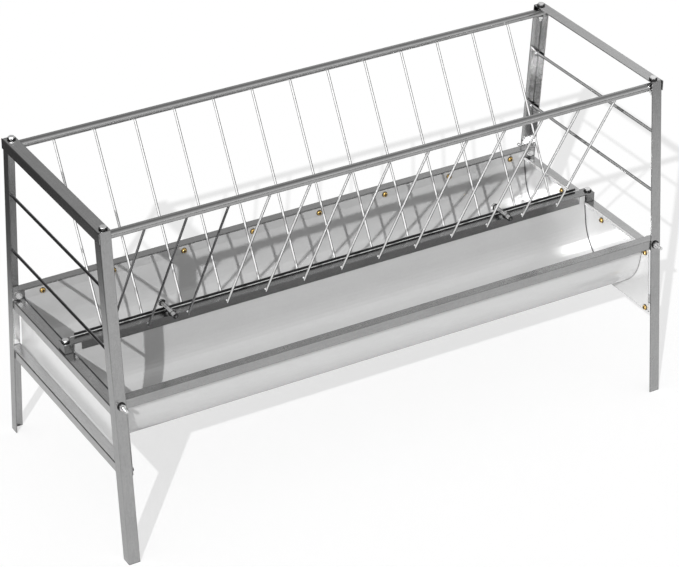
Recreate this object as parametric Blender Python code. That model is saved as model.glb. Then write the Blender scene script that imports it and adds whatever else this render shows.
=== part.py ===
"""Goat hay feeder: a bolted angle frame with a V of hay rods over two half-round feed troughs.

Metres, Z up. X runs along the feeder, the front is -Y, the floor is Z = 0 and the origin lies
under the middle. Left and right are the -X and +X ends.
"""
from math import acos, atan2, cos, hypot, pi, radians, sin, sqrt, tan

import bmesh
import bpy
from mathutils import Matrix, Vector

# Driving dimensions of the frame
LEG_SPAN = 2.000            # over the outer faces of the two ends' legs
HEIGHT = 1.126              # floor to the top of the end crosses
TOP_DEPTH = 0.686           # over the legs' outer faces at the top
FOOT_DEPTH = 0.883          # and at the floor
GAP = 0.0003                # clearance between neighbouring pieces
SMOOTH_ANGLE = radians(35.0)
ENDS = (("left", -1.0), ("right", 1.0))
SIDES = (("front", -1.0), ("back", 1.0))

# Angle bar
LEG_FLANGE = 0.038
LEG_SHEET = 0.003
CROSS_FLANGE = 0.035        # the flange that lies flat on the mid and lower crosses
CROSS_DROP = 0.030          # the flange that hangs down
CROSS_SHEET = 0.0025
TOP_CROSS_FLANGE = 0.042
TOP_CROSS_DROP = 0.035
TOP_CROSS_OVERHANG = 0.004  # how far a top cross stands past the legs
BEND_OUTER = 0.0035
BEND_STEPS = 4
MID_CROSS_TOP = 0.533
LOWER_CROSS_TOP = 0.336

# Round bar and tube
GUARD_RADIUS = 0.005
GUARD_LOWER_HEIGHT = 0.7244
GUARD_UPPER_HEIGHT = 0.9335
TUBE_RADIUS = 0.0131
TUBE_WALL = 0.002
TUBE_INSET = 0.0182         # tube's middle, from the legs' outer faces at the top
TUBE_SIDES = 40
ROD_RADIUS = 0.004
ROD_PITCH = 0.140
ROD_COUNT = 13
ROD_SIDES = 16
BAR_SIDES = 24

# Centre rail: an inverted channel, closed at its ends, with a low lip along its back edge
RAIL_WIDTH = 0.042
RAIL_RISE = 0.0317          # top of the rail, above its seat on the mid crosses
RAIL_SHEET = 0.0025
RAIL_DEPTH = 0.029
RAIL_LIP = 0.010
RAIL_LIP_SETBACK = 0.053    # lip's end, from the rail's end
RAIL_SETBACK = 0.008        # rail's end, from the legs' outer faces
RAIL_NOTCH = 0.025          # how far the notch for the trough's end reaches over the trough

# Rims: square tube under the outer trough walls
RIM_SIZE = 0.032
RIM_SHEET = 0.002

# Troughs: half-round channels of thin sheet, the walls upright only behind the rim and the rail
TROUGH_SHEET = 0.0015
TROUGH_DRAW = 0.0083        # how much narrower the round part is than the mouth, each side
TROUGH_UPRIGHT = 0.0306     # height of the upright part of the walls
TROUGH_AXIS_DROP = 0.038    # middle of the round part, below the top of the mid crosses
TROUGH_STEPS = 36

# End plates: sheet with a narrow return along the top and the bottom
PLATE_SHEET = 0.0015
PLATE_RETURN = 0.0051
PLATE_HANG = 0.034          # bottom edge, below the top of the lower crosses
PLATE_INSET = 0.0063        # from the legs' outer faces, along Y

# Bolts with hexagon heads and nuts
BOLT_RADIUS = 0.005
BOLT_FLATS = 0.019
BOLT_HEAD = 0.0075
BOLT_NUT = 0.009
WASHER_RADIUS = 0.0115
WASHER_SHEET = 0.002
SPACER_RADIUS = 0.0085
SPACER_LENGTH = 0.0083      # between the top cross and the tube, with a gap at each end
TIP_TOP_BOLT = 0.009        # thread past the nut
RIM_BOLT_REACH = 0.036      # thread end, from the leg's face
BOLT_INSET = 0.022          # from the legs' outer faces, along X
HEX = 6

# Large bolts lying across the rail
CLAMP_PLACE = 0.625
CLAMP_RADIUS = 0.0075
CLAMP_FLATS = 0.022
CLAMP_HEAD = 0.008
CLAMP_NUT = 0.014
CLAMP_END_RADIUS = 0.0095   # round end in front of the nut, with a bore
CLAMP_END_BORE = 0.0055
CLAMP_BACK_REACH = 0.041    # outside of the head, from the rail's middle
CLAMP_TIP_REACH = 0.060     # front of the round end, from the rail's middle
CLAMP_NUT_REACH = 0.027     # nut's inner face, from the rail's middle

# Sizes that follow from these
LEG_X = LEG_SPAN / 2
TOP_Y = TOP_DEPTH / 2
SPLAY = (FOOT_DEPTH - TOP_DEPTH) / 2 / HEIGHT
LEG_INNER_X = LEG_X - LEG_SHEET
CROSS_OUTER_X = LEG_INNER_X - GAP
CROSS_INNER_X = CROSS_OUTER_X - CROSS_FLANGE
TOP_CROSS_UNDERSIDE = HEIGHT - CROSS_SHEET
TUBE_BORE = TUBE_RADIUS - TUBE_WALL
TUBE_SIDE = TOP_Y - TUBE_INSET
TUBE_HEIGHT = TOP_CROSS_UNDERSIDE - SPACER_LENGTH - TUBE_RADIUS
SEAT = MID_CROSS_TOP + GAP
RIM_TOP = SEAT + RIM_SIZE
RIM_MIDDLE = SEAT + RIM_SIZE / 2
RAIL_TOP = SEAT + RAIL_RISE
RAIL_Y = RAIL_WIDTH / 2
RAIL_HALF = LEG_X - RAIL_SETBACK
PLATE_FACE_X = CROSS_INNER_X - GAP - PLATE_RETURN
PLATE_BOTTOM = LOWER_CROSS_TOP - PLATE_HANG
TROUGH_HALF = PLATE_FACE_X - GAP
TROUGH_TOP = RAIL_TOP - RAIL_SHEET - GAP
TROUGH_AXIS = MID_CROSS_TOP - TROUGH_AXIS_DROP
BOLT_X = LEG_X - BOLT_INSET
HOLE_RADIUS = BOLT_RADIUS + GAP

GALVANISED = ("galvanised_steel", (0.55, 0.56, 0.57), 0.42, 1.0)
SHEET = ("galvanised_sheet", (0.74, 0.75, 0.76), 0.34, 1.0)
RODS = ("bright_rod", (0.80, 0.81, 0.82), 0.22, 1.0)
BOLTS = ("zinc_bolt", (0.72, 0.73, 0.74), 0.28, 1.0)


def leg_outer(z):
    """Distance of the legs' outer front or back face from the middle, at this height."""
    return TOP_Y + SPLAY * (HEIGHT - z)


def leg_inner(z):
    return leg_outer(z) - LEG_SHEET


def material(look):
    """The Principled material of this name, made on first use."""
    name, colour, roughness, metallic = look
    found = bpy.data.materials.get(name)
    if found:
        return found
    made = bpy.data.materials.new(name)
    made.use_nodes = True
    shader = made.node_tree.nodes["Principled BSDF"]
    shader.inputs["Base Color"].default_value = (*colour, 1.0)
    shader.inputs["Roughness"].default_value = roughness
    shader.inputs["Metallic"].default_value = metallic
    return made


def add_object(name, bm, look, smooth=False):
    bmesh.ops.recalc_face_normals(bm, faces=bm.faces[:])
    mesh = bpy.data.meshes.new(name)
    bm.to_mesh(mesh)
    bm.free()
    mesh.materials.append(material(look))
    if smooth:
        mesh.set_sharp_from_angle(angle=SMOOTH_ANGLE)
    made = bpy.data.objects.new(name, mesh)
    bpy.context.scene.collection.objects.link(made)
    return made


def loft(bm, loops):
    """Skin a row of point loops of equal length and close both ends."""
    rings = [[bm.verts.new(point) for point in loop] for loop in loops]
    for near, far in zip(rings, rings[1:]):
        count = len(near)
        for i in range(count):
            j = (i + 1) % count
            bm.faces.new((near[i], near[j], far[j], far[i]))
    bm.faces.new(rings[0][::-1])
    bm.faces.new(rings[-1])


def lofted(name, loops, look, smooth=False):
    bm = bmesh.new()
    loft(bm, loops)
    return add_object(name, bm, look, smooth)


def box(name, low, high):
    """A block between two corners."""
    (x0, y0, z0), (x1, y1, z1) = low, high
    x0, x1 = min(x0, x1), max(x0, x1)
    y0, y1 = min(y0, y1), max(y0, y1)
    base = [(x0, y0), (x1, y0), (x1, y1), (x0, y1)]
    return lofted(name, [[(x, y, z) for x, y in base] for z in (z0, z1)], GALVANISED)


def circle(radius, sides, turn=0.0):
    return [(radius * cos(turn + 2 * pi * i / sides), radius * sin(turn + 2 * pi * i / sides))
            for i in range(sides)]


def turned(name, start, direction, rings, look):
    """A solid of stacked rings, (distance along, radius, sides or HEX), from start along direction."""
    axis = Vector(direction).normalized()
    frame = axis.to_track_quat("Z", "Y").to_matrix().to_4x4()
    place = Matrix.Translation(Vector(start)) @ frame
    bm = bmesh.new()
    for low, high, radius, sides in rings:
        base = circle(radius, sides, pi / sides)
        loft(bm, [[place @ Vector((x, y, z)) for x, y in base] for z in (low, high)])
    return add_object(name, bm, look, True)


def evaluated(target):
    """Apply the modifiers of an object to its mesh."""
    bpy.context.view_layer.update()
    graph = bpy.context.evaluated_depsgraph_get()
    mesh = bpy.data.meshes.new_from_object(target.evaluated_get(graph))
    old = target.data
    target.modifiers.clear()
    target.data = mesh
    mesh.name = old.name
    bpy.data.meshes.remove(old)


def combine(target, tools, operation):
    """Join or cut with each tool in turn, and throw the tools away."""
    for tool in tools:
        modifier = target.modifiers.new("combine", "BOOLEAN")
        modifier.operation = operation
        modifier.solver = "EXACT"
        modifier.object = tool
    evaluated(target)
    for tool in tools:
        mesh = tool.data
        bpy.data.objects.remove(tool)
        bpy.data.meshes.remove(mesh)
    return target


def drill(point, direction, length, radius=HOLE_RADIUS):
    """A round cutter centred on a point."""
    half = length / 2
    return turned("drill", point, direction, [(-half, half, radius, BAR_SIDES)], GALVANISED)


def angle_profile(across, down, sheet):
    """An angle bar's section: the outer corner at the origin, flanges along +u and +v."""
    inner = max(BEND_OUTER - sheet, GAP)
    steps = [pi / 2 * i / BEND_STEPS for i in range(BEND_STEPS + 1)]
    outside = [(BEND_OUTER * (1 - sin(a)), BEND_OUTER * (1 - cos(a))) for a in steps]
    inside = [(sheet + inner * (1 - cos(a)), sheet + inner * (1 - sin(a))) for a in steps]
    return [(across, 0.0), *outside, (0.0, down), (sheet, down), *inside, (across, sheet)]


def make_leg(name, side, end):
    """A splayed angle leg: one flange faces the feeder's end, the other its front or back."""
    section = angle_profile(LEG_FLANGE, LEG_FLANGE, LEG_SHEET)
    loops = []
    for z in (0.0, HEIGHT):
        loops.append([(end * (LEG_X - u), side * (leg_outer(z) - v), z) for u, v in section])
    leg = lofted(name, loops, GALVANISED)
    step = box("step", (end * (LEG_INNER_X - GAP), side * (TOP_Y - LEG_FLANGE - LEG_SHEET),
                        TOP_CROSS_UNDERSIDE - GAP),
               (end * (LEG_X + GAP), side * (leg_inner(HEIGHT) - GAP), HEIGHT + GAP))
    hole = drill((end * BOLT_X, side * leg_inner(RIM_MIDDLE), RIM_MIDDLE), (0, 1, 0), LEG_FLANGE)
    return combine(leg, [step, hole], "DIFFERENCE")


def make_top_cross(name, end):
    """The angle that ties two legs at the top: flat on the legs, with a flange outside them."""
    outer = LEG_X + GAP + CROSS_SHEET
    inner = outer - TOP_CROSS_FLANGE
    reach = leg_inner(HEIGHT) - GAP
    overhang = TOP_Y + TOP_CROSS_OVERHANG
    section = angle_profile(TOP_CROSS_FLANGE, TOP_CROSS_DROP, CROSS_SHEET)
    loops = [[(end * (outer - u), y, HEIGHT - v) for u, v in section] for y in (-overhang, overhang)]
    cross = lofted(name, loops, GALVANISED)
    tools = []
    for _, side in SIDES:
        tools.append(box("notch", (end * (inner - GAP), side * reach, TOP_CROSS_UNDERSIDE - GAP),
                         (end * (LEG_X + GAP), side * (overhang + GAP), HEIGHT + GAP)))
        tools.append(drill((end * BOLT_X, side * TUBE_SIDE, HEIGHT), (0, 0, 1), TOP_CROSS_DROP))
    return combine(cross, tools, "DIFFERENCE")


def make_cross(name, end, top, holes):
    """An angle between the legs, flat side up, its end cuts following the splayed legs."""
    section = angle_profile(CROSS_FLANGE, CROSS_DROP, CROSS_SHEET)
    loops = []
    for _, side in SIDES:
        loops.append([(end * (CROSS_OUTER_X - u), side * (leg_inner(top - v) - GAP), top - v)
                      for u, v in section])
    cross = lofted(name, loops, GALVANISED)
    if holes:
        middle = (end * BOLT_X, 0.0, top)
        combine(cross, [drill(middle, (0, 0, 1), CROSS_DROP)], "DIFFERENCE")
    return cross


def make_guard_rod(name, end, z):
    reach = leg_inner(z + GUARD_RADIUS) - GAP
    start = (end * (LEG_INNER_X - GAP - GUARD_RADIUS), 0.0, z)
    return turned(name, start, (0, 1, 0), [(-reach, reach, GUARD_RADIUS, BAR_SIDES)], RODS)


def ring_tube(name, outer, inner, half, look, smooth):
    """An open tube along X from two (y, z) loops of equal length."""
    bm = bmesh.new()
    rings = []
    for loop, x in ((outer, -half), (outer, half), (inner, half), (inner, -half)):
        rings.append([bm.verts.new((x, y, z)) for y, z in loop])
    for near, far in zip(rings, rings[1:] + rings[:1]):
        count = len(near)
        for i in range(count):
            j = (i + 1) % count
            bm.faces.new((near[i], near[j], far[j], far[i]))
    return add_object(name, bm, look, smooth)


def make_top_tube(name, side):
    half = LEG_INNER_X - GAP
    loops = []
    for radius in (TUBE_RADIUS, TUBE_BORE):
        loops.append([(side * TUBE_SIDE + y, TUBE_HEIGHT + z)
                      for y, z in circle(radius, TUBE_SIDES)])
    tube = ring_tube(name, *loops, half, GALVANISED, True)
    holes = [drill((end * BOLT_X, side * TUBE_SIDE, TUBE_HEIGHT), (0, 0, 1), TOP_CROSS_DROP)
             for _, end in ENDS]
    return combine(tube, holes, "DIFFERENCE")


def make_rim(name, side):
    """Square tube inside the legs, which carries the trough's outer wall."""
    outer_y = leg_inner(RIM_TOP) - GAP
    middle_y = outer_y - RIM_SIZE / 2
    loops = []
    for size in (RIM_SIZE, RIM_SIZE - 2 * RIM_SHEET):
        h = size / 2
        loops.append([(side * middle_y + y, RIM_MIDDLE + z)
                      for y, z in ((-h, -h), (h, -h), (h, h), (-h, h))])
    rim = ring_tube(name, *loops, LEG_INNER_X - GAP, GALVANISED, False)
    holes = [drill((end * BOLT_X, side * middle_y, RIM_MIDDLE), (0, 1, 0), 2 * RIM_SIZE)
             for _, end in ENDS]
    return combine(rim, holes, "DIFFERENCE")


def rim_inner():
    """Distance of the rims' inner faces from the middle."""
    return leg_inner(RIM_TOP) - GAP - RIM_SIZE


def make_rail():
    """The inverted channel that the rods stand on, with a lip along its back edge."""
    inner_y = RAIL_Y - RAIL_SHEET
    under = RAIL_TOP - RAIL_SHEET
    foot = RAIL_TOP - RAIL_DEPTH
    lip = RAIL_TOP + RAIL_LIP
    section = [(-RAIL_Y, SEAT), (-inner_y, SEAT), (-inner_y, under), (inner_y, under),
               (inner_y, SEAT), (RAIL_Y, SEAT), (RAIL_Y, lip), (inner_y, lip),
               (inner_y, RAIL_TOP), (-RAIL_Y, RAIL_TOP)]
    loops = [[(x, y, z) for y, z in section] for x in (-RAIL_HALF, RAIL_HALF)]
    rail = lofted("centre_rail", loops, GALVANISED)
    walls = [box("wall", (end * (RAIL_HALF - RAIL_SHEET), -inner_y - GAP, SEAT),
                 (end * RAIL_HALF, inner_y + GAP, under + GAP)) for _, end in ENDS]
    combine(rail, walls, "UNION")
    wide = RAIL_WIDTH
    notch = TROUGH_HALF - RAIL_NOTCH
    trim = [box("trim", (-notch, -wide, SEAT - GAP), (notch, wide, foot))]
    for _, end in ENDS:
        trim.append(box("trim", (end * notch, -wide, SEAT - GAP), (end * CROSS_INNER_X, wide, under)))
        trim.append(box("trim", (end * (RAIL_HALF - RAIL_LIP_SETBACK), inner_y - RAIL_SHEET, RAIL_TOP),
                        (end * (RAIL_HALF + GAP), wide, lip + GAP)))
        trim.append(drill((end * BOLT_X, 0.0, RAIL_TOP), (0, 0, 1), 2 * RAIL_SHEET))
    return combine(rail, trim, "DIFFERENCE")


def trough_line(half_width, offset):
    """One face of the trough's sheet as (s, z), s from its own middle.

    From each upright part a leaning wall runs on to touch the round part, which spans
    the angle sweep to each side of the bottom.
    """
    inner_radius = half_width - TROUGH_DRAW
    rise = TROUGH_TOP - TROUGH_UPRIGHT - TROUGH_AXIS
    sweep = pi / 2 + atan2(rise, half_width) - acos(inner_radius / hypot(rise, half_width))
    radius = inner_radius + offset
    corner_s = half_width + offset
    corner_z = TROUGH_AXIS - radius * cos(sweep) + (corner_s - radius * sin(sweep)) * tan(sweep)
    line = [(-corner_s, TROUGH_TOP), (-corner_s, corner_z)]
    for i in range(TROUGH_STEPS + 1):
        a = sweep * (2 * i / TROUGH_STEPS - 1)
        line.append((radius * sin(a), TROUGH_AXIS - radius * cos(a)))
    return [*line, (corner_s, corner_z), (corner_s, TROUGH_TOP)]


def make_trough(name, side):
    """A half-round sheet channel between the rim and the centre rail."""
    outer_wall = rim_inner() - GAP - TROUGH_SHEET
    inner_wall = RAIL_Y - RAIL_SHEET - GAP
    middle = (outer_wall + inner_wall) / 2
    half_width = (outer_wall - inner_wall) / 2
    section = trough_line(half_width, 0.0) + trough_line(half_width, TROUGH_SHEET)[::-1]
    loops = [[(x, side * middle + s, z) for s, z in section] for x in (-TROUGH_HALF, TROUGH_HALF)]
    return lofted(name, loops, SHEET, True)


def make_end_plate(name, end):
    """A sheet across the trough ends, its top and bottom edges turned out to the crosses."""
    inner = PLATE_FACE_X
    outer = inner + PLATE_SHEET
    rim = inner + PLATE_RETURN
    top = MID_CROSS_TOP - GAP
    section = [(inner, PLATE_BOTTOM), (rim, PLATE_BOTTOM), (rim, PLATE_BOTTOM + PLATE_SHEET),
               (outer, PLATE_BOTTOM + PLATE_SHEET), (outer, top - PLATE_SHEET),
               (rim, top - PLATE_SHEET), (rim, top), (inner, top)]
    loops = [[(end * x, side * (leg_outer(z) - PLATE_INSET), z) for x, z in section]
             for _, side in SIDES]
    return lofted(name, loops, SHEET)


def plane_cut_loop(origin, axis, radius, sides, point, normal):
    """Where a round bar's surface lines meet a plane, as one loop of points."""
    across = Vector((1.0, 0.0, 0.0))
    up = axis.cross(across)
    loop = []
    for u, v in circle(radius, sides, pi / sides):
        start = origin + across * u + up * v
        travel = (point - start).dot(normal) / axis.dot(normal)
        loop.append(start + axis * travel)
    return loop


def make_rack_rod(name, side, x):
    """A hay rod from the face of the centre rail up to the underside of the top tube."""
    tube = Vector((x, side * TUBE_SIDE, TUBE_HEIGHT))
    edge = Vector((x, side * (RAIL_Y + GAP), RAIL_TOP))
    reach = tube - edge
    lean = atan2(abs(reach.y), reach.z) - atan2(ROD_RADIUS, sqrt(reach.length ** 2 - ROD_RADIUS ** 2))
    axis = Vector((0.0, side * sin(lean), cos(lean)))
    top = tube - axis * (TUBE_RADIUS + GAP)
    face = Vector((0.0, side, 0.0))
    loops = [plane_cut_loop(tube, axis, ROD_RADIUS, ROD_SIDES, edge, face),
             plane_cut_loop(tube, axis, ROD_RADIUS, ROD_SIDES, top, axis)]
    return lofted(name, loops, RODS, True)


def hex_radius(flats):
    return flats / 2 / cos(pi / HEX)


def make_corner_bolt(name, side, end):
    """Head on the top cross, spacer between cross and tube, nut under the tube."""
    head = HEIGHT + GAP
    tube_top = TUBE_HEIGHT + TUBE_RADIUS + GAP
    nut = TUBE_HEIGHT - TUBE_RADIUS - GAP
    hexagon = hex_radius(BOLT_FLATS)
    rings = [(0.0, WASHER_SHEET, WASHER_RADIUS, BAR_SIDES),
             (WASHER_SHEET / 2, WASHER_SHEET + BOLT_HEAD, hexagon, HEX),
             (nut - BOLT_NUT - TIP_TOP_BOLT - head, WASHER_SHEET, BOLT_RADIUS, BAR_SIDES),
             (tube_top - head, TOP_CROSS_UNDERSIDE - GAP - head, SPACER_RADIUS, BAR_SIDES),
             (nut - BOLT_NUT - head, nut - head, hexagon, HEX)]
    return joined_rings(name, (end * BOLT_X, side * TUBE_SIDE, head), (0, 0, 1), rings)


def make_rim_bolt(name, side, end):
    """Head and washer inside the rim, nut outside the leg, with a long thread."""
    inside = rim_inner() - GAP
    hexagon = hex_radius(BOLT_FLATS)
    nut = leg_outer(RIM_MIDDLE - hexagon) + GAP - inside
    tip = leg_outer(RIM_MIDDLE) + RIM_BOLT_REACH - inside
    rings = [(-WASHER_SHEET, 0.0, WASHER_RADIUS, BAR_SIDES),
             (-WASHER_SHEET - BOLT_HEAD, -WASHER_SHEET / 2, hexagon, HEX),
             (-WASHER_SHEET, tip, BOLT_RADIUS, BAR_SIDES),
             (nut, nut + BOLT_NUT, hexagon, HEX)]
    return joined_rings(name, (end * BOLT_X, side * inside, RIM_MIDDLE), (0, side, 0), rings)


def make_clamp_bolt(name, end):
    """A large bolt that lies across the rail, on its lip, head at the back and nut in front."""
    height = RAIL_TOP + RAIL_LIP + GAP + CLAMP_RADIUS
    hexagon = hex_radius(CLAMP_FLATS)
    nut_front = CLAMP_NUT_REACH + CLAMP_NUT
    rings = [(-CLAMP_BACK_REACH, nut_front, CLAMP_RADIUS, BAR_SIDES),
             (-CLAMP_BACK_REACH, -CLAMP_BACK_REACH + CLAMP_HEAD, hexagon, HEX),
             (CLAMP_NUT_REACH, nut_front, hexagon, HEX),
             (CLAMP_NUT_REACH + GAP, CLAMP_TIP_REACH, CLAMP_END_RADIUS, BAR_SIDES)]
    bolt = joined_rings(name, (end * CLAMP_PLACE, 0.0, height), (0, -1, 0), rings)
    depth = CLAMP_TIP_REACH - nut_front
    bore = drill((end * CLAMP_PLACE, -CLAMP_TIP_REACH, height), (0, 1, 0), 2 * depth, CLAMP_END_BORE)
    return combine(bolt, [bore], "DIFFERENCE")


def joined_rings(name, start, direction, rings):
    """A bolt whose overlapping rings are joined into one body."""
    first, *others = [turned(name if i == 0 else "ring", start, direction, [ring], BOLTS)
                      for i, ring in enumerate(rings)]
    return combine(first, others, "UNION")


def clear_scene():
    for old in list(bpy.data.objects):
        bpy.data.objects.remove(old)


def main():
    clear_scene()
    for end_name, end in ENDS:
        make_top_cross(f"top_cross_{end_name}", end)
        make_cross(f"mid_cross_{end_name}", end, MID_CROSS_TOP, True)
        make_cross(f"lower_cross_{end_name}", end, LOWER_CROSS_TOP, False)
        make_end_plate(f"end_plate_{end_name}", end)
        make_clamp_bolt(f"clamp_bolt_{end_name}", end)
        make_guard_rod(f"guard_rod_lower_{end_name}", end, GUARD_LOWER_HEIGHT)
        make_guard_rod(f"guard_rod_upper_{end_name}", end, GUARD_UPPER_HEIGHT)
        for side_name, side in SIDES:
            make_leg(f"leg_{side_name}_{end_name}", side, end)
            make_corner_bolt(f"corner_bolt_{side_name}_{end_name}", side, end)
            make_rim_bolt(f"rim_bolt_{side_name}_{end_name}", side, end)
    make_rail()
    for side_name, side in SIDES:
        make_top_tube(f"top_tube_{side_name}", side)
        make_rim(f"rim_{side_name}", side)
        make_trough(f"trough_{side_name}", side)
        for i in range(ROD_COUNT):
            x = ROD_PITCH * (i - (ROD_COUNT - 1) / 2)
            make_rack_rod(f"rack_rod_{side_name}_{i + 1:02d}", side, x)


main()
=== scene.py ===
"""Looks for the goat hay feeder: finishes, small fasteners, welds, trim, floor, light and camera.

Metres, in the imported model's frame: X along the feeder, front at -Y, floor at Z = 0.
"""
from math import acos, atan2, cos, hypot, pi, radians, sin, tan

import bmesh
import bpy
from mathutils import Matrix, Vector, noise


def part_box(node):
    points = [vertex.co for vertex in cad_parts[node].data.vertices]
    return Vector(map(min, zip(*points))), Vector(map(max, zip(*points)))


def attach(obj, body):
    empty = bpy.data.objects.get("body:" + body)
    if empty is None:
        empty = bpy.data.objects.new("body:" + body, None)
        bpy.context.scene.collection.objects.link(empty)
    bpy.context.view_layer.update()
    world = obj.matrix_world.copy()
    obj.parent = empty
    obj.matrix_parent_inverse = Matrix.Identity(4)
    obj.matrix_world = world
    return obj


ENDS = (("left", -1.0), ("right", 1.0))
SIDES = (("front", -1.0), ("back", 1.0))
BODY = "root"
UP = (0.0, 0.0, 1.0)
CONTACT = 0.0001             # clearance between a small piece and what it lies on

# Camera, solved from the photograph
IMAGE_WIDTH = 679
FOCAL_PIXELS = 2710.8
SENSOR = 36.0
CAMERA_PLACE = (-3.8079, -6.6044, 4.9978)
CAMERA_TURN = -0.52323
CAMERA_PITCH = -0.53434
CLIP_END = 60.0

# Light: one low sun from the front left, and a studio sky. In metal, the sky is mirrored darker
# towards the left back and overhead, and the floor as a pool of light round POOL_PLACE.
SUN_FROM = (-0.552, -0.617, 0.561)
SUN_STRENGTH = 2.9
SUN_ANGLE = radians(0.6)
SKY_DIFFUSE = 0.52
SKY_TURN = Vector((0.60, -0.80, 0.0))
SKY_STOPS = ((0.06, 0.09), (0.28, 0.46), (0.350, 0.56), (0.374, 1.0), (0.55, 0.90), (1.0, 0.85))
SKY_RISE_STOPS = ((0.0, 1.0), (0.3, 0.85), (0.5, 0.70), (0.7, 0.44), (1.0, 0.16))
FLOOR_HALF = 14.0
FLOOR_COLOUR = 0.97
FLOOR_GLOW = 0.62            # share of the floor's seen light that no shadow takes away
FLOOR_ROUGHNESS = 0.9
POOL_PLACE = (0.6, -1.2, 0.0)
POOL_REACH = 4.0
POOL_STOPS = ((0.72, 0.56), (0.80, 0.24), (0.86, 0.10), (1.0, 0.05))

# Textures: scales per metre, stretch along the rolling lines, and the depths of the bumps
SPANGLE_SCALE = 150.0
CLOUD_SCALE = 6.0
GRAIN_SCALE = 520.0
STAIN_SCALE = 90.0
MOULD_SCALE = 300.0
ALONG_X = (9.0, 260.0, 260.0)
ALONG_Y = (260.0, 9.0, 260.0)
ALONG_Z = (260.0, 260.0, 9.0)
ALONG_SHEET = (14.0, 60.0, 60.0)
NOISE_RANGE = (0.3, 0.7)     # where most of a noise texture's values lie
STEEL_BUMP = 0.0003
FINE_BUMP = 0.0002
STEEL_EDGE = 0.0012          # radius of the softly rounded edges
PLATED_EDGE = 0.0006
TRIM_EDGE = 0.0004
BEVEL_SAMPLES = 4

# Finishes: painted shade in gaps and along edges, painted sheen and shade on bars, plating and
# black trim
STEEL_GAP_SHADE = (0.007, 0.22)    # reach and tone of the painted shade in the gaps
# painted shade in the gaps of plated parts, bolts and screws: reach and tone
PLATED_GAP_SHADE = (0.005, 0.25)
BOLT_GAP_SHADE = (0.010, 0.04)
SCREW_GAP_SHADE = (0.006, 0.06)
GAP_SAMPLES = 6
GAP_COVERED = 0.30           # openness at which the painted shade is darkest, and at which it ends
GAP_OPEN = 0.82
# painted shade along sharp edges: reach of the rounding, and tones
EDGE_SHADE_REACH = 0.0030
EDGE_SHADE_STOPS = ((0.80, 0.25), (0.97, 1.0))
# painted shade on the rail's faces below its top: blend, drop and tone
SHADE_BLEND = 0.0005
RAIL_SHADE_DROP = 0.002       # below the rail's top, where the painted shade on its lower faces begins
RAIL_SHADE = 0.75
SHEEN_SIDE = 0.66              # turn from the painted sheen's direction, as a cosine
SHEEN_FACE = 0.90
FRONT_ROD_SHEEN = ((-0.765, -0.562, -0.312), 0.03)     # side given the painted sheen, and tone of the painted shade on the sides
BACK_ROD_SHEEN = ((-0.51, -0.75, 0.42), 0.02)
GUARD_SHEEN = ((-0.76, 0.0, 0.65), 0.03)
CLAMP_SHEEN = ((-0.64, 0.0, 0.76), 0.08)
PATCH_PLACES = (0.30, 0.62)
DRAG_PLACES = (0.30, 0.65)
DRAG_LIFT = 0.3
STAIN_PLACES = (0.28, 0.62)
PLATED_SPREAD = (0.7, 1.4)   # least and most roughness, as shares
TRIM_STOPS = ((0.3, 0.7), (0.7, 1.2))
TRIM_ROUGHNESS = (0.55, 0.75)
TRIM_BUMP = 0.2
TRIM_SPECULAR = 0.25
SMOOTH_ANGLE = 35.0

# Sizes of the sheet and bar that small pieces lie on
TROUGH_SHEET = 0.0015
TROUGH_DRAW = 0.0083
TROUGH_UPRIGHT = 0.0306
PROFILE_STEPS = 48
PLATE_SHEET = 0.0034
RAIL_SHEET = 0.0025
RAIL_LIP = 0.010
LIP_SETBACK = 0.053
CROSS_SHEET = 0.0025
BOLT_INSET = 0.022

# Screws: places, sizes, and profiles as shares of radius and height
WALL_SCREW_DROP = 0.0203     # below the top of the rim
WALL_SCREW_PLACES = (0.127, 0.385, 0.643, 0.895)
PLATE_SCREW_DROP = 0.0183    # below the top of the end plate
PLATE_SCREW_RISE = 0.011     # above its bottom edge
PLATE_SCREW_SIDES = (0.12, 0.372)
PLATE_SCREW_FOOT = 0.392
SCREW_HEAD = 0.0082
SCREW_DOME = 0.0062
SCREW_SINK = 0.9             # share of the washer's thickness at which the head begins
HEAD_PROFILE = ((1.0, 0.35), (0.92, 0.68), (0.80, 0.90), (0.66, 1.0))
HEAD_SIDES = 40
SCREW_WASHER = 0.0102
SCREW_WASHER_SHEET = 0.0014
SEAL_PROFILE = ((0.97, 0.0), (1.0, 0.4), (0.94, 1.0))
SEAL_BORE = 0.5              # share of the head's radius
SEAL_SIDES = 28
SCREW_RECESS = 0.0056
RECESS_TAPER = 0.85
RECESS_DEPTH = 0.85
RECESS_WAIST = 0.55
RECESS_WINGS = 0.45
RECESS_SHADE_FOOT = 0.80           # radii of the black fill painted as shade in the recess, as shares of the recess
RECESS_SHADE_TOP = 0.96
TIP_RADIUS = 0.0024
TIP_LENGTH = 0.009
TIP_SHANK = 0.7              # share of the length before the point
TIP_POINT = 0.2              # share of the radius left at the point
TIP_SIDES = 14

# Bolts
HEX_FLATS = 0.019
HEX_HEAD = 0.0075
HEX_NUT = 0.009
HEX_SHANK = 0.005
HEX_CHAMFER = 0.16           # share of a head's height
HEX_FOOT_CUT = 0.4           # share of the chamfer that is also cut at the foot
HEX_END_REACH = 1.03
HEX_SIDES = 48
SHANK_FIT = 0.94
SHANK_SIDES = 24
WASHER_RADIUS = 0.0115
WASHER_SHEET = 0.002
WASHER_SHOULDER = (0.95, 0.8)    # radius on top and height of the shoulder, as shares
WASHER_SIDES = 36
SHADOW_RING_BORE = 0.0112           # black ring painted as shade round the foot of a bolt head or nut
SHADOW_RING_RADIUS = 0.0134
SHADOW_RING_SHEET = 0.0014
SHADOW_RING_SIDES = 40
RIM_SHADOW_RING_REACH = 0.0346      # from a rim bolt's tip back to its ring
THREAD_PITCH = 0.0015
THREAD_ROOT = 0.86
THREAD_END = 0.80
THREAD_FIT = 0.96
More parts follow.
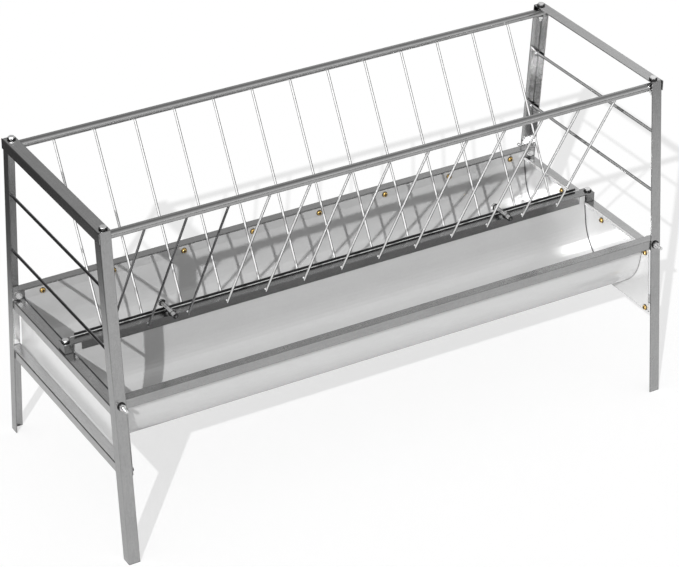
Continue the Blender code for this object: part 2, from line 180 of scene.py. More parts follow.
THREAD_SIDES = 20
THREAD_OVERHANG = 0.008      # below the rail end bolt's nut
RIM_THREAD_SETBACK = 0.024
RIM_THREAD_LENGTH = 0.0235
RIM_THREAD_FIT = 1.10
RIM_THREAD_ANGLE = 50.0

# Welds: (end of the rod, offset across, outward and up in weld radii, size, squash)
WELD = 0.0034
ROD_DROPS = (("foot", (-1.5, 0.5, -0.6), 1.0, (1.0, 0.7, 1.0)),
             ("foot", (0.9, 0.6, 0.3), 0.8, (0.9, 0.9, 0.7)),
             ("top", (-0.9, -0.4, -0.2), 1.0, (1.2, 0.8, 0.5)))
ROD_SEED_STEP = 1.7
DROP_SEED_STEP = 0.5
GUARD_WELD = 0.0085
GUARD_SQUASH = (1.0, 0.4, 0.6)
GUARD_WELD_INSET = 0.0015
GUARD_SEED_STEP = 1.3
LUMP = 0.22
LUMP_SCALE = 1.7
LUMP_TURN = 0.37
WELD_ANGLE = 80.0

# Trim
SEAM = 0.0011
SEAM_SETBACK = 1.2           # in seam widths, from the trough's end
SEAM_SECTION = ((-1.0, 0.0), (-0.5, 0.8), (0.5, 1.0), (1.0, 0.0))
SEAM_ANGLE = 60.0
# rail lip: a black strip painted as shade on its face, and a pale bead painted as a highlight at
# its foot
SHADOW_STRIP_SHEET = 0.0010
SHADOW_STRIP_FOOT = 0.34           # share of the lip's height
LIP_HIGHLIGHT = 0.0015
LIP_HIGHLIGHT_OVERHANG = 0.016
LIP_HIGHLIGHT_ROUND = (0.45, 0.85)
HEM_RISE = 0.0022
HEM_START = 0.004            # from the rail's side
HEM_STEPS = 8
HEM_WIDTHS = {"left": 0.0, "right": 0.007}     # how far the folds turn in over the troughs

# Mix nodes: the colour sockets
MIX_FIRST, MIX_SECOND, MIX_RESULT = 6, 7, 2


def grey(level, blue=0.0):
    """A grey, with a little more blue if given."""
    return level, level, level + blue


def new_material(name):
    made = bpy.data.materials.new(name)
    made.use_nodes = True
    tree = made.node_tree
    return made, tree, tree.nodes["Principled BSDF"]


def node(tree, kind, settings=None, **values):
    """A node with its settings and its input values by name."""
    made = tree.nodes.new(kind)
    for key, value in (settings or {}).items():
        setattr(made, key, value)
    for key, value in values.items():
        made.inputs[key.replace("_", " ")].default_value = value
    return made


def feed(tree, socket, source):
    """Link an output into a socket, or set the socket to a value."""
    if isinstance(source, bpy.types.NodeSocket):
        tree.links.new(source, socket)
    elif socket.type == "RGBA":
        socket.default_value = (*source, 1.0)
    else:
        socket.default_value = source


def maths(tree, kind, operation, *sources):
    """The value of a Math or VectorMath node."""
    made = node(tree, "ShaderNode" + kind, {"operation": operation})
    for socket, source in zip(made.inputs, sources):
        feed(tree, socket, source)
    return made.outputs["Value"]


def mixed(tree, share, first, second, blend="MIX"):
    """Two colours mixed; share, first and second are outputs or values."""
    made = node(tree, "ShaderNodeMix", {"data_type": "RGBA", "blend_type": blend})
    feed(tree, made.inputs["Factor"], share)
    feed(tree, made.inputs[MIX_FIRST], first)
    feed(tree, made.inputs[MIX_SECOND], second)
    return made.outputs[MIX_RESULT]


def multiplied(tree, *colours):
    """The product of colours."""
    result = colours[0]
    for other in colours[1:]:
        result = mixed(tree, 1.0, result, other, "MULTIPLY")
    return result


def ramp(tree, source, stops):
    """A grey ramp of (position, level) stops driven by source."""
    made = tree.nodes.new("ShaderNodeValToRGB")
    marks = made.color_ramp.elements
    while len(marks) < len(stops):
        marks.new(0.5)
    for mark, (place, level) in zip(marks, stops):
        mark.position = place
        mark.color = (*grey(level), 1.0)
    tree.links.new(source, made.inputs["Fac"])
    return made.outputs["Color"]


def mapped(tree, source, old, new):
    """The source's old range turned into a new one."""
    made = node(tree, "ShaderNodeMapRange", From_Min=old[0], From_Max=old[1],
                To_Min=new[0], To_Max=new[1])
    tree.links.new(source, made.inputs["Value"])
    return made.outputs["Result"]


def rise(tree, source):
    """The Z part of a vector output."""
    split = node(tree, "ShaderNodeSeparateXYZ")
    tree.links.new(source, split.inputs["Vector"])
    return split.outputs["Z"]


def textured(tree, kind, scale, stretch=(1.0, 1.0, 1.0), settings=None, **values):
    """A texture in object space, drawn out along the axes with a low stretch."""
    place = node(tree, "ShaderNodeTexCoord")
    turn = node(tree, "ShaderNodeMapping", Scale=stretch)
    tree.links.new(place.outputs["Object"], turn.inputs["Vector"])
    made = node(tree, kind, settings, Scale=scale, **values)
    tree.links.new(turn.outputs["Vector"], made.inputs["Vector"])
    return made


def painted_gap_shade(tree, reach, tone):
    """Painted shade in the narrow gaps between pieces: dark where the surface is closely covered.
    """
    made = node(tree, "ShaderNodeAmbientOcclusion", {"samples": GAP_SAMPLES}, Distance=reach)
    return ramp(tree, made.outputs["AO"], ((GAP_COVERED, tone), (GAP_OPEN, 1.0)))


def softened(tree, radius):
    """The normal with its edges rounded."""
    made = node(tree, "ShaderNodeBevel", {"samples": BEVEL_SAMPLES}, Radius=radius)
    return made.outputs["Normal"]


def edges(tree):
    """Painted shade as dark lines along sharp edges, where the rounded normal leaves the flat one.
    """
    flat = node(tree, "ShaderNodeNewGeometry").outputs["Normal"]
    bend = maths(tree, "VectorMath", "DOT_PRODUCT", softened(tree, EDGE_SHADE_REACH), flat)
    return ramp(tree, bend, EDGE_SHADE_STOPS)


def painted_shade_below(tree, height, level):
    """Painted shade: a darker tone below a height."""
    place = node(tree, "ShaderNodeTexCoord").outputs["Object"]
    return mapped(tree, rise(tree, place), (height - SHADE_BLEND, height), (level, 1.0))


def painted_sheen(tree, direction, level):
    """Painted sheen on bars: bright on the two opposite sides that face along a fixed direction,
    painted shade between them.
    """
    flat = node(tree, "ShaderNodeNewGeometry").outputs["Normal"]
    side = maths(tree, "VectorMath", "DOT_PRODUCT", flat, Vector(direction).normalized())
    return ramp(tree, maths(tree, "Math", "ABSOLUTE", side), ((SHEEN_SIDE, level), (SHEEN_FACE, 1.0)))


def finish_normal(tree, shader, heights, edge):
    """Bumps from several (source, strength, depth) layers over softly rounded edges."""
    normal = softened(tree, edge)
    for source, strength, depth in heights:
        bump = node(tree, "ShaderNodeBump", Strength=strength, Distance=depth)
        tree.links.new(source, bump.inputs["Height"])
        tree.links.new(normal, bump.inputs["Normal"])
        normal = bump.outputs["Normal"]
    tree.links.new(normal, shader.inputs["Normal"])


def galvanised(name, tone, rough, streak, metallic=1.0, spangle=0.05, dirt=0.06, grain=0.30,
               drag=0.09, shade_below=None):
    """Zinc-coated steel: crystal spangle, rolling grain, darker clouds, and painted shade in gaps,
    along edges and below a given height.
    """
    made, tree, shader = new_material(name)
    cells = textured(tree, "ShaderNodeTexVoronoi", SPANGLE_SCALE, settings={"feature": "F1"})
    facets = ramp(tree, cells.outputs["Color"], ((0.0, 1.0 - spangle), (1.0, 1.0 + spangle)))
    cloud = textured(tree, "ShaderNodeTexNoise", CLOUD_SCALE, Detail=5.0, Roughness=0.62)
    low, high = PATCH_PLACES
    patches = ramp(tree, cloud.outputs["Fac"], ((low, 1.0 - dirt), (high, 1.0)))
    lines = textured(tree, "ShaderNodeTexNoise", 1.0, streak, Detail=4.0, Roughness=0.7)
    low, high = DRAG_PLACES
    drawn = ramp(tree, lines.outputs["Fac"], ((low, 1.0 - drag), (high, 1.0 + drag * DRAG_LIFT)))
    shade = multiplied(tree, facets, patches, drawn, painted_gap_shade(tree, *STEEL_GAP_SHADE), edges(tree),
                       grey(tone))
    if shade_below:
        shade = multiplied(tree, shade, painted_shade_below(tree, *shade_below))
    tree.links.new(shade, shader.inputs["Base Color"])
    tree.links.new(mapped(tree, cloud.outputs["Fac"], NOISE_RANGE, rough),
                   shader.inputs["Roughness"])
    fine = textured(tree, "ShaderNodeTexNoise", GRAIN_SCALE, Detail=3.0, Roughness=0.7)
    finish_normal(tree, shader, ((lines.outputs["Fac"], grain / 2, STEEL_BUMP),
                                 (fine.outputs["Fac"], grain, STEEL_BUMP)), STEEL_EDGE)
    shader.inputs["Metallic"].default_value = metallic
    return made


def plated(name, colour, rough, stain=0.10, waves=0.12, metallic=1.0, gap_shade=PLATED_GAP_SHADE, sheen=None):
    """Bright plated steel with small stains and waves, painted shade in the gaps and, if given a
    direction, painted sheen and shade on its sides.
    """
    made, tree, shader = new_material(name)
    spots = textured(tree, "ShaderNodeTexNoise", STAIN_SCALE, Detail=4.0, Roughness=0.65)
    low, high = STAIN_PLACES
    shade = ramp(tree, spots.outputs["Fac"], ((low, 1.0 - stain), (high, 1.0)))
    shade = multiplied(tree, shade, painted_gap_shade(tree, *gap_shade), colour)
    if sheen:
        shade = multiplied(tree, shade, painted_sheen(tree, *sheen))
    tree.links.new(shade, shader.inputs["Base Color"])
    spread = [rough * share for share in PLATED_SPREAD]
    tree.links.new(mapped(tree, spots.outputs["Fac"], NOISE_RANGE, spread),
                   shader.inputs["Roughness"])
    finish_normal(tree, shader, ((spots.outputs["Fac"], waves, FINE_BUMP),), PLATED_EDGE)
    shader.inputs["Metallic"].default_value = metallic
    return made


def rubber(name, colour):
    """Dull black trim with a fine moulded grain."""
    made, tree, shader = new_material(name)
    spots = textured(tree, "ShaderNodeTexNoise", MOULD_SCALE, Detail=3.0)
    shade = ramp(tree, spots.outputs["Fac"], TRIM_STOPS)
    tree.links.new(multiplied(tree, shade, colour), shader.inputs["Base Color"])
    tree.links.new(mapped(tree, spots.outputs["Fac"], NOISE_RANGE, TRIM_ROUGHNESS),
                   shader.inputs["Roughness"])
    finish_normal(tree, shader, ((spots.outputs["Fac"], TRIM_BUMP, FINE_BUMP),), TRIM_EDGE)
    shader.inputs["Specular IOR Level"].default_value = TRIM_SPECULAR
    return made


def middle(box, axis):
    return (box[0][axis] + box[1][axis]) / 2


def farthest(box, axis):
    """Reach of a box from the feeder's middle plane."""
    return max(abs(box[0][axis]), abs(box[1][axis]))


def nearest(box, axis):
    """Distance of a box from the feeder's middle plane."""
    return min(abs(box[0][axis]), abs(box[1][axis]))


def rail_top():
    """Height of the rail's flat top, at the foot of its lip."""
    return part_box("centre_rail")[1][2] - RAIL_LIP


def leg_face():
    """Distance of the legs' outer end faces from the middle."""
    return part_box("leg_front_right")[1][0]


def make_piece(name, bm, material, smooth_angle=SMOOTH_ANGLE):
    """The finished mesh as a piece that rides on the feeder."""
    bmesh.ops.recalc_face_normals(bm, faces=bm.faces[:])
    mesh = bpy.data.meshes.new(name)
    bm.to_mesh(mesh)
    bm.free()
    mesh.materials.append(material)
    mesh.shade_smooth()
    mesh.set_sharp_from_angle(angle=radians(smooth_angle))
    made = bpy.data.objects.new(name, mesh)
    bpy.context.scene.collection.objects.link(made)
    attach(made, BODY)


def frame_at(point, direction):
    """A local frame at a point, with its Z along a direction."""
    axis = Vector(direction).normalized()
    return Matrix.Translation(Vector(point)) @ axis.to_track_quat("Z", "Y").to_matrix().to_4x4()


def bridge(bm, near, far):
    """Faces between two closed vertex loops of equal length."""
    count = len(near)
    for i in range(count):
        j = (i + 1) % count
        bm.faces.new((near[i], near[j], far[j], far[i]))


def skin(bm, loops):
    """Join a row of closed vertex loops of equal length and close both ends."""
    for near, far in zip(loops, loops[1:]):
        bridge(bm, near, far)
    bm.faces.new(loops[0][::-1])
    bm.faces.new(loops[-1])


def revolve(bm, place, profile, sides, shape=None):
    """Turn (radius, height) points about the local Z; shape(row, angle) scales the radius."""
    loops = []
    for row, (radius, height) in enumerate(profile):
        loop = []
        for i in range(sides):
            a = 2 * pi * i / sides
            r = radius * (shape(row, a) if shape else 1.0)
            loop.append(bm.verts.new(place @ Vector((r * cos(a), r * sin(a), height))))
        loops.append(loop)
    skin(bm, loops)


def shadow_ring(bm, point, direction):
    """A black ring, painted shade, that lies on a face at a point and looks along a direction."""
    place = frame_at(point, direction)
    section = ((SHADOW_RING_BORE, 0.0), (SHADOW_RING_RADIUS, 0.0), (SHADOW_RING_RADIUS, SHADOW_RING_SHEET),
               (SHADOW_RING_BORE, SHADOW_RING_SHEET))
    loops = []
    for i in range(SHADOW_RING_SIDES):
        a = 2 * pi * i / SHADOW_RING_SIDES
        loops.append([bm.verts.new(place @ Vector((r * cos(a), r * sin(a), z)))
                      for r, z in section])
    for near, far in zip(loops, loops[1:] + loops[:1]):
        bridge(bm, near, far)


def block(bm, low, high):
    """A block between two corners."""
    (x0, y0, z0), (x1, y1, z1) = low, high
    base = ((x0, y0), (x1, y0), (x1, y1), (x0, y1))
    skin(bm, [[bm.verts.new((x, y, z)) for x, y in base] for z in (z0, z1)])


def hexagon(a):
    """Corner reach of a hexagon of unit half flats at this angle."""
    step = pi / 3
    return 1.0 / cos((a + step / 2) % step - step / 2)


def hex_block(bm, place, low, high):
    """A hexagon head or nut with chamfered corners, between two heights."""
    cut = (high - low) * HEX_CHAMFER
    profile = [(HEX_FLATS / 2, z) for z in (low, low + cut * HEX_FOOT_CUT, high - cut, high)]
    outer = (0, len(profile) - 1)

    def corner(row, a):
        reach = hexagon(a)
        return min(reach, HEX_END_REACH) if row in outer else reach

    revolve(bm, place, profile, HEX_SIDES, corner)


def thread(bm, place, low, high, radius):
    """A threaded shank as a row of ridges."""
    count = max(2, int((high - low) / THREAD_PITCH))
    profile = []
    for i in range(count):
        z = low + (high - low) * i / count
        profile.append((radius * THREAD_ROOT, z))
        profile.append((radius, z + (high - low) / count / 2))
    profile.append((radius * THREAD_END, high))
    revolve(bm, place, profile, THREAD_SIDES)


def cross_slot(a):
    """Reach of a four-winged recess at this angle, as a share of its full reach."""
    return RECESS_WAIST + RECESS_WINGS * cos(2 * a) ** 2


def screw(bm, seals_and_shade, point, direction):
    """A pan-head screw on its black sealing washer, standing out from point, with black painted as
    shade in its recess.
    """
    place = frame_at(point, direction)
    sheet = SCREW_WASHER_SHEET
    top = sheet + SCREW_DOME
    deep = top - SCREW_DOME * RECESS_DEPTH
    washer = [(SCREW_WASHER * r, max(CONTACT, sheet * h)) for r, h in SEAL_PROFILE]
    revolve(seals_and_shade, place, washer + [(SCREW_HEAD * SEAL_BORE, sheet)], SEAL_SIDES)
    head = [(SCREW_HEAD, sheet * SCREW_SINK)]
    head += [(SCREW_HEAD * r, sheet + SCREW_DOME * h) for r, h in HEAD_PROFILE]
    winged = len(head)
    head += [(SCREW_RECESS, top), (SCREW_RECESS * RECESS_TAPER, deep)]
    revolve(bm, place, head, HEAD_SIDES, lambda row, a: cross_slot(a) if row >= winged else 1.0)
    recess_shade = ((SCREW_RECESS * RECESS_SHADE_FOOT, deep + CONTACT),
              (SCREW_RECESS * RECESS_SHADE_TOP, top + CONTACT))
    revolve(seals_and_shade, place, recess_shade, HEAD_SIDES, lambda row, a: cross_slot(a))


def bead(bm, point, radius, squash, seed):
    """An uneven drop of weld metal."""
    drop = bmesh.ops.create_icosphere(bm, subdivisions=2, radius=1.0)
    turn = Vector((seed, seed * LUMP_TURN, 0.0))
    for vert in drop["verts"]:
        lump = 1.0 + LUMP * noise.noise(vert.co * LUMP_SCALE + turn)
        vert.co = Vector(point) + Vector([c * radius * lump * s for c, s in zip(vert.co, squash)])


def make_wall_screws(material, black):
    """Self-drilling screws through each trough's outer wall into the rim."""
    for name, side in SIDES:
        wall = farthest(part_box(f"trough_{name}"), 1) - TROUGH_SHEET
        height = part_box(f"rim_{name}")[1][2] - WALL_SCREW_DROP
        bm = bmesh.new()
        seals_and_shade = bmesh.new()
        for x in WALL_SCREW_PLACES:
            for _, end in ENDS:
                screw(bm, seals_and_shade, (end * x, side * wall, height), (0, -side, 0))
        make_piece(f"wall_screws_{name}", bm, material)
        # this piece holds the black washers and the black fills painted as shade in the recesses
        make_piece(f"wall_screw_seals_{name}", seals_and_shade, black)


def make_plate_screws(materials, tips, black):
    """Screws through each end plate into the crosses, and their dark tips outside."""
    shape = ((TIP_RADIUS, CONTACT), (TIP_RADIUS, TIP_LENGTH * TIP_SHANK),
             (TIP_RADIUS * TIP_POINT, TIP_LENGTH))
    for name, end in ENDS:
        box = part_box(f"end_plate_{name}")
        low, high = box
        places = [(y, high[2] - PLATE_SCREW_DROP) for y in PLATE_SCREW_SIDES]
        places.append((PLATE_SCREW_FOOT, low[2] + PLATE_SCREW_RISE))
        heads = bmesh.new()
        seals_and_shade = bmesh.new()
        points = bmesh.new()
        for y, z in places:
            for _, side in SIDES:
                screw(heads, seals_and_shade, (end * nearest(box, 0), side * y, z), (-end, 0, 0))
                outside = (end * (farthest(box, 0) - PLATE_SHEET), side * y, z)
                revolve(points, frame_at(outside, (end, 0, 0)), shape, TIP_SIDES)
        make_piece(f"plate_screws_{name}", heads, materials[name])
        # this piece holds the black washers and the black fills painted as shade in the recesses
        make_piece(f"plate_screw_seals_{name}", seals_and_shade, black)
        make_piece(f"plate_screw_tips_{name}", points, tips)


def make_rail_end_bolts(material):
    """The upright bolts that hold the rail's ends down on the mid crosses."""
    seat = rail_top()
    top = seat + WASHER_SHEET
    edge, shoulder = WASHER_SHOULDER
    for name, end in ENDS:
        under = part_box(f"mid_cross_{name}")[1][2] - CROSS_SHEET
        foot = under - HEX_NUT
        place = Matrix.Translation((end * (leg_face() - BOLT_INSET), 0.0, 0.0))
        bm = bmesh.new()
        washer = ((WASHER_RADIUS, seat + CONTACT), (WASHER_RADIUS, seat + WASHER_SHEET * shoulder),
                  (WASHER_RADIUS * edge, top), (HEX_SHANK, top))
        revolve(bm, place, washer, WASHER_SIDES)
        hex_block(bm, place, top, top + HEX_HEAD)
        hex_block(bm, place, foot - CONTACT, under - CONTACT)
        thread(bm, place, foot - THREAD_OVERHANG, foot, HEX_SHANK * THREAD_FIT)
        shank = HEX_SHANK * SHANK_FIT
        revolve(bm, place, ((shank, foot), (shank, top)), SHANK_SIDES)
        make_piece(f"rail_end_bolt_{name}", bm, material)


def make_welds(material):
    """Weld drops at both ends of the hay rods and round the guard rods' ends."""
    bm = bmesh.new()
    seed = 0.0
    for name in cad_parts:
        if not name.startswith("rack_rod_"):
            continue
        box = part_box(name)
        side = -1.0 if "front" in name else 1.0
        bases = {"foot": (nearest(box, 1), rail_top()), "top": (farthest(box, 1), box[1][2])}
        seed += ROD_SEED_STEP
        for i, (end, (across, outward, up), size, squash) in enumerate(ROD_DROPS):
            y, z = bases[end]
            point = (middle(box, 0) + WELD * across, side * (y + WELD * outward), z + WELD * up)
            bead(bm, point, WELD * size, squash, seed + DROP_SEED_STEP * i)
    make_piece("rod_welds", bm, material, WELD_ANGLE)
    bm = bmesh.new()
    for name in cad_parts:
        if not name.startswith("guard_rod_"):
            continue
        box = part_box(name)
        for y, inward in ((box[0][1], 1.0), (box[1][1], -1.0)):
            seed += GUARD_SEED_STEP
            point = (middle(box, 0), y + inward * GUARD_WELD_INSET, middle(box, 2))
            bead(bm, point, GUARD_WELD, GUARD_SQUASH, seed)
    make_piece("guard_welds", bm, material, WELD_ANGLE)


def trough_profile(side_name, side):
    """Inner face of a trough as (y, z) points from the rail to the rim, and its axis."""
    low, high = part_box(f"trough_{side_name}")
    half = (high[1] - low[1]) / 2 - TROUGH_SHEET
    centre = (high[1] + low[1]) / 2
    radius = half - TROUGH_DRAW
    axis = low[2] + TROUGH_SHEET + radius
    lift = high[2] - TROUGH_UPRIGHT - axis
    sweep = pi / 2 + atan2(lift, half) - acos(radius / hypot(lift, half))
    corner = axis - radius * cos(sweep) + (half - radius * sin(sweep)) * tan(sweep)
    line = [(-half, corner)]
    for i in range(PROFILE_STEPS + 1):
        a = sweep * (2 * i / PROFILE_STEPS - 1)
        line.append((radius * sin(a), axis - radius * cos(a)))
    line.append((half, corner))
    return [(centre + side * s, z) for s, z in line], (centre, axis)


def make_seams(material):
    """A thin dark bead of sealant along each trough end, against the end plate."""
    for side_name, side in SIDES:
        line, (centre, axis) = trough_profile(side_name, side)
        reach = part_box(f"trough_{side_name}")[1][0]
        for end_name, end in ENDS:
            x = end * (reach - SEAM * SEAM_SETBACK)
            bm = bmesh.new()
            loops = []
            for y, z in line:
                inward = Vector((0.0, centre - y, axis - z)).normalized()
                foot = Vector((x, y, z)) + inward * CONTACT
                loops.append([bm.verts.new(foot + Vector((end * SEAM * u, 0, 0))
                                           + inward * (SEAM * v)) for u, v in SEAM_SECTION])
            skin(bm, loops)
            make_piece(f"trough_seam_{side_name}_{end_name}", bm, material, SEAM_ANGLE)


def make_rail_lip_shade_and_highlight(black, bright):
    """A black strip on the face of the rail's lip, painted shade, and a pale bead at its foot, a
    painted highlight.
    """
    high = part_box("centre_rail")[1]
    face = high[1] - RAIL_SHEET
    top = rail_top()
    reach = high[0] - LIP_SETBACK
    bm = bmesh.new()
    block(bm, (-reach, face - SHADOW_STRIP_SHEET, top + RAIL_LIP * SHADOW_STRIP_FOOT),
          (reach, face - CONTACT, high[2] - CONTACT))
    make_piece("rail_lip_shadow_strip", bm, black)
    bm = bmesh.new()
    reach += LIP_HIGHLIGHT_OVERHANG
    less, more = (LIP_HIGHLIGHT * share for share in LIP_HIGHLIGHT_ROUND)
    section = ((face - LIP_HIGHLIGHT, top + CONTACT), (face - CONTACT, top + CONTACT),
               (face - CONTACT, top + LIP_HIGHLIGHT), (face - less, top + more),
               (face - more, top + less))
    skin(bm, [[bm.verts.new((x, y, z)) for y, z in section] for x in (-reach, reach)])
    make_piece("rail_lip_highlight", bm, bright)


def make_plate_hems(materials):
    """The rounded fold on top of each end plate, beside the mid cross."""
    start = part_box("centre_rail")[1][1] + HEM_START
    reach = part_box("trough_back")[1][1] - TROUGH_SHEET
    for name, end in ENDS:
        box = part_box(f"end_plate_{name}")
        near = nearest(box, 0) - HEM_WIDTHS[name]
        far = farthest(box, 0)
        section = []
        for i in range(HEM_STEPS + 1):
            a = pi * i / HEM_STEPS
            section.append((near + (far - near) * (1.0 - cos(a)) / 2,
                            box[1][2] + CONTACT + HEM_RISE * sin(a)))
        for side_name, side in SIDES:
            bm = bmesh.new()
            skin(bm, [[bm.verts.new((end * x, side * y, z)) for x, z in section]
                      for y in (start, reach)])
            make_piece(f"plate_hem_{side_name}_{name}", bm, materials[name])


def make_bolt_threads(material):
    """Ridged thread over the rim bolts' ends, which stand out from the legs."""
    bm = bmesh.new()
    for side_name, side in SIDES:
        for end_name, _ in ENDS:
            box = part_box(f"rim_bolt_{side_name}_{end_name}")
            start = farthest(box, 1) - RIM_THREAD_SETBACK
            place = frame_at((middle(box, 0), side * start, middle(box, 2)), (0, side, 0))
            thread(bm, place, 0.0, RIM_THREAD_LENGTH, HEX_SHANK * RIM_THREAD_FIT)
    make_piece("rim_bolt_threads", bm, material, RIM_THREAD_ANGLE)


def make_bolt_shadow_rings(material):
    """Black rings painted as shade round the feet of the bolts' heads and the rim bolts' outer
    ends.
    """
    bm = bmesh.new()
    for side_name, side in SIDES:
        for end_name, _ in ENDS:
            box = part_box(f"corner_bolt_{side_name}_{end_name}")
            foot = box[1][2] - HEX_HEAD + CONTACT
            shadow_ring(bm, (middle(box, 0), middle(box, 1), foot), UP)
            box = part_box(f"rim_bolt_{side_name}_{end_name}")
            seat = farthest(box, 1) - RIM_SHADOW_RING_REACH
            shadow_ring(bm, (middle(box, 0), side * seat, middle(box, 2)), (0, side, 0))
    for _, end in ENDS:
        foot = rail_top() + WASHER_SHEET + CONTACT
        shadow_ring(bm, (end * (leg_face() - BOLT_INSET), 0.0, foot), UP)
    make_piece("bolt_shadow_rings", bm, material)


def dress_nodes(looks):
    """Give every CAD node the first finish whose name start fits."""
    for name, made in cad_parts.items():
        for start, material in looks:
            if name.startswith(start):
                made.data.materials.clear()
                made.data.materials.append(material)
                break


def dress():
    """Finishes on the CAD nodes, and the small pieces that the CAD leaves out."""
    leg = galvanised("galvanised_leg", tone=0.62, rough=(0.20, 0.28), streak=ALONG_Z)
    # a lighter copy of the leg finish, painted light, for the back right leg
    lit_leg = galvanised("lit_leg", tone=0.68, rough=(0.14, 0.22), streak=ALONG_Z)
    cross = galvanised("galvanised_cross", tone=0.64, rough=(0.15, 0.22), streak=ALONG_Y)
    # a lighter copy of the cross finish, painted light, for the mid and lower crosses
    lit_cross = galvanised("lit_cross", tone=0.72, rough=(0.15, 0.22), streak=ALONG_Y)
    bar = galvanised("galvanised_bar", tone=0.60, rough=(0.15, 0.22), streak=ALONG_X)
    # the rail is a darker copy of the bar finish, painted shade, with more painted shade below its
    # top
    rail = galvanised("galvanised_rail", tone=0.48, rough=(0.20, 0.28), streak=ALONG_X,
                      shade_below=(rail_top() - RAIL_SHADE_DROP, RAIL_SHADE))
    tube = galvanised("galvanised_tube", tone=0.60, rough=(0.12, 0.18), streak=ALONG_X,
                      grain=0.15)
    smooth = {"rough": (0.20, 0.26), "streak": ALONG_SHEET, "metallic": 0.42,
              "spangle": 0.012, "dirt": 0.02, "grain": 0.02, "drag": 0.02}
    sheet = galvanised("galvanised_sheet", tone=0.68, **smooth)
    # a lighter copy of the sheet finish, painted light, for the sunlit end plates
    plate = galvanised("galvanised_plate", tone=0.92, **smooth)
    # rods, guard rods and clamp bolts get painted sheen and shade by the way each face turns
    rod = plated("bright_bar", grey(1.0), rough=0.12, metallic=0.42, sheen=FRONT_ROD_SHEEN)
    back_rod = plated("back_bar", grey(1.0), rough=0.12, metallic=0.42, sheen=BACK_ROD_SHEEN)
    # darker copies of the rod and guard finishes, painted shade, for the three front rods at the
    # left, the left guard rods and the left plate hems
    shade_grey = plated("painted_shade_grey", grey(0.34, blue=0.005), rough=0.16)
    guard = plated("guard_bar", grey(0.48), rough=0.16, metallic=0.42, sheen=GUARD_SHEEN)
    shaded_guard = plated("painted_shade_guard_bar", grey(0.24, blue=0.005), rough=0.16)
    zinc = plated("zinc_plate", grey(1.0), rough=0.08, metallic=0.85, gap_shade=BOLT_GAP_SHADE)
    chrome = plated("bright_zinc", grey(1.0), rough=0.06, metallic=0.75, gap_shade=BOLT_GAP_SHADE,
                    sheen=CLAMP_SHEEN)
    yellow = plated("yellow_zinc", (0.90, 0.60, 0.20), rough=0.20, stain=0.3, metallic=0.8,
                    gap_shade=SCREW_GAP_SHADE)
    # pale weld metal, also used as a painted highlight on the rail lip's bead and the right plate
    # hems
    weld = plated("weld_metal_and_painted_highlight", grey(0.97), rough=0.30, waves=0.5, metallic=0.4)
    # black, painted shade, for the left plate's screw heads and for the screw tips
    dark = plated("black_painted_shade", grey(0.06, blue=0.005), rough=0.35)
    # black trim for the screws' sealing washers, also painted shade as the rail lip strip, the
    # bolt rings and the screw recess fills
    black = rubber("black_trim_and_painted_shade", grey(0.012, blue=0.001))
    sealant = rubber("grey_sealant", grey(0.10, blue=0.005))
    dress_nodes((("top_tube", tube), ("trough", sheet), ("end_plate", plate),
                 ("rack_rod_front_01", shade_grey), ("rack_rod_front_02", shade_grey),
                 ("rack_rod_front_03", shade_grey), ("rack_rod_back", back_rod), ("rack_rod", rod),
                 ("guard_rod_lower_left", shaded_guard), ("guard_rod_upper_left", shaded_guard),
                 ("guard_rod", guard), ("corner_bolt", zinc), ("rim_bolt", zinc),
                 ("mid_cross", lit_cross), ("lower_cross", lit_cross),
                 ("clamp_bolt", chrome), ("leg_back_right", lit_leg), ("leg", leg),
                 ("rim", bar), ("centre_rail", rail), ("", cross)))
    make_wall_screws(yellow, black)
    # the left plate's screw heads are black, painted shade; the right ones are yellow zinc
    make_plate_screws({"left": dark, "right": yellow}, dark, black)
    make_rail_end_bolts(zinc)
    make_welds(weld)
    make_seams(sealant)
    # the rail lip's black strip is painted shade and its pale bead a painted highlight
    make_rail_lip_shade_and_highlight(black, weld)
    # the left hems take a dark finish, painted shade, and the right hems a pale one, a painted
    # highlight
    make_plate_hems({"left": shade_grey, "right": weld})
    make_bolt_threads(zinc)
    # black rings painted as shade round the bolts
    make_bolt_shadow_rings(black)


def make_floor():
    """White floor; mirrored in metal it is a pool of light that fades to the left back."""
    bm = bmesh.new()
    half = FLOOR_HALF
    corners = ((-half, -half), (half, -half), (half, half), (-half, half))
    bm.faces.new([bm.verts.new((x, y, 0.0)) for x, y in corners])
    mesh = bpy.data.meshes.new("floor")
    bm.to_mesh(mesh)
    bm.free()
    made, tree, shader = new_material("studio_floor")
    place = node(tree, "ShaderNodeTexCoord").outputs["Object"]
    away = maths(tree, "VectorMath", "DISTANCE", place, POOL_PLACE)
    pool = ramp(tree, maths(tree, "Math", "DIVIDE", away, POOL_REACH), POOL_STOPS)
    path = node(tree, "ShaderNodeLightPath")
    seen = mixed(tree, path.outputs["Is Camera Ray"], grey(FLOOR_COLOUR),
                 grey(FLOOR_COLOUR * (1.0 - FLOOR_GLOW)))
    tree.links.new(mixed(tree, path.outputs["Is Glossy Ray"], seen, pool),
                   shader.inputs["Base Color"])
    tree.links.new(maths(tree, "Math", "MULTIPLY", path.outputs["Is Camera Ray"], FLOOR_GLOW),
                   shader.inputs["Emission Strength"])
    shader.inputs["Emission Color"].default_value = (*grey(1.0), 1.0)
    shader.inputs["Roughness"].default_value = FLOOR_ROUGHNESS
    shader.inputs["Specular IOR Level"].default_value = 0.0
    mesh.materials.append(made)
    floor = bpy.data.objects.new("floor", mesh)
    bpy.context.scene.collection.objects.link(floor)


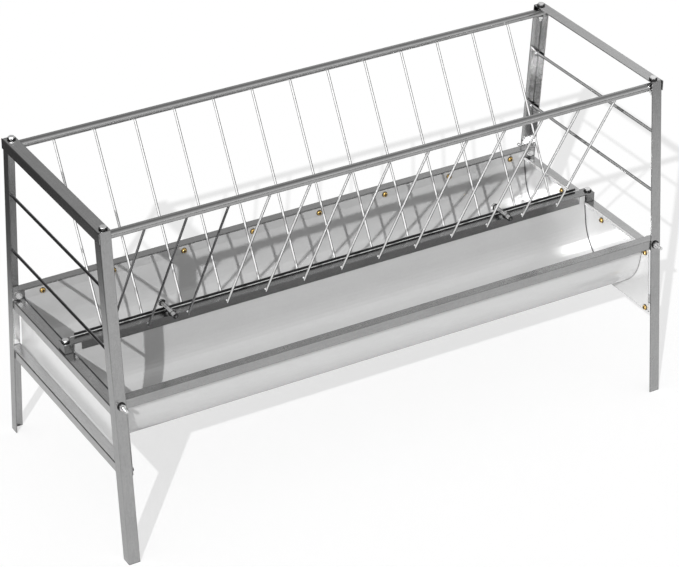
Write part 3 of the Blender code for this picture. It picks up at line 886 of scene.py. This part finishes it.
def make_sky():
    """Soft even light; mirrored in metal it darkens towards the left back and overhead."""
    world = bpy.data.worlds.new("studio")
    bpy.context.scene.world = world
    world.use_nodes = True
    tree = world.node_tree
    background = tree.nodes["Background"]
    background.inputs["Strength"].default_value = 1.0
    place = node(tree, "ShaderNodeTexCoord").outputs["Generated"]
    along = maths(tree, "VectorMath", "DOT_PRODUCT", place, SKY_TURN)
    share = mapped(tree, along, (-1.0, 1.0), (0.0, 1.0))
    mirrored = multiplied(tree, ramp(tree, share, SKY_STOPS),
                          ramp(tree, rise(tree, place), SKY_RISE_STOPS))
    path = node(tree, "ShaderNodeLightPath")
    light = mixed(tree, path.outputs["Is Glossy Ray"], grey(SKY_DIFFUSE), mirrored)
    seen = mixed(tree, path.outputs["Is Camera Ray"], light, grey(1.0))
    tree.links.new(seen, background.inputs["Color"])


def make_sun():
    """The one sharp light."""
    lamp = bpy.data.lights.new("sun", "SUN")
    lamp.energy = SUN_STRENGTH
    lamp.angle = SUN_ANGLE
    sun = bpy.data.objects.new("sun", lamp)
    sun.rotation_euler = Vector(SUN_FROM).to_track_quat("Z", "Y").to_euler()
    bpy.context.scene.collection.objects.link(sun)


def make_camera():
    """The photograph's view."""
    lens = bpy.data.cameras.new("camera")
    lens.sensor_width = SENSOR
    lens.lens = FOCAL_PIXELS / IMAGE_WIDTH * SENSOR
    lens.clip_end = CLIP_END
    camera = bpy.data.objects.new("camera", lens)
    camera.location = CAMERA_PLACE
    camera.rotation_euler = (pi / 2 + CAMERA_PITCH, 0.0, CAMERA_TURN)
    bpy.context.scene.collection.objects.link(camera)
    bpy.context.scene.camera = camera


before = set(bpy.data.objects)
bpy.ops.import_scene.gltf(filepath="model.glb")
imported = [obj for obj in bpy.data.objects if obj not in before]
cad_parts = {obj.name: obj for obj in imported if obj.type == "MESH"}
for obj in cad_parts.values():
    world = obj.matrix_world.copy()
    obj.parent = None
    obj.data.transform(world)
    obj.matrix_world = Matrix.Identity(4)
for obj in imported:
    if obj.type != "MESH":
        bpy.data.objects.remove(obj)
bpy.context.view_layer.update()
dress()
make_floor()
make_sky()
make_sun()
make_camera()
bpy.context.scene.view_settings.view_transform = "Standard"
